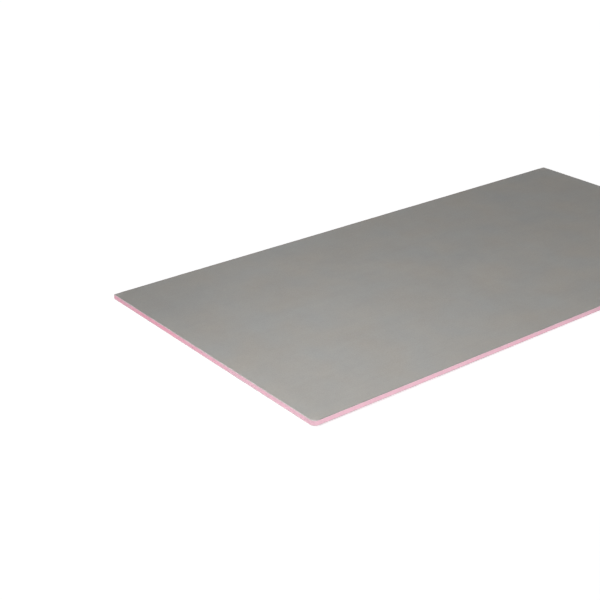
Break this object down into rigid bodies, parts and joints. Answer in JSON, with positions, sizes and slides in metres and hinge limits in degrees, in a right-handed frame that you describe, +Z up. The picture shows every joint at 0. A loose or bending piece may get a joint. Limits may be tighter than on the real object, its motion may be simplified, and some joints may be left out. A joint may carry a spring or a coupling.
{
  "type": "tile backer board",
  "caption": "Flat rectangular tile backer board: a pink extruded polystyrene core with a thin grey cement mortar coat on both faces and bare sawn edges.",
  "frame": {"origin": "middle of the underside, where the board rests on the floor", "axes": "+X along the board's length, +Y across its width, +Z up through its thickness, out of the face that takes the tiles"},
  "size_m": [1.2, 0.6, 0.01],
  "materials": {
    "mortar": "matte",
    "foam": "matte"
  },
  "bodies": {
    "root": {"bottom_coat": "mortar", "foam_core": "foam", "top_coat": "mortar"}
  },
  "joints": []
}
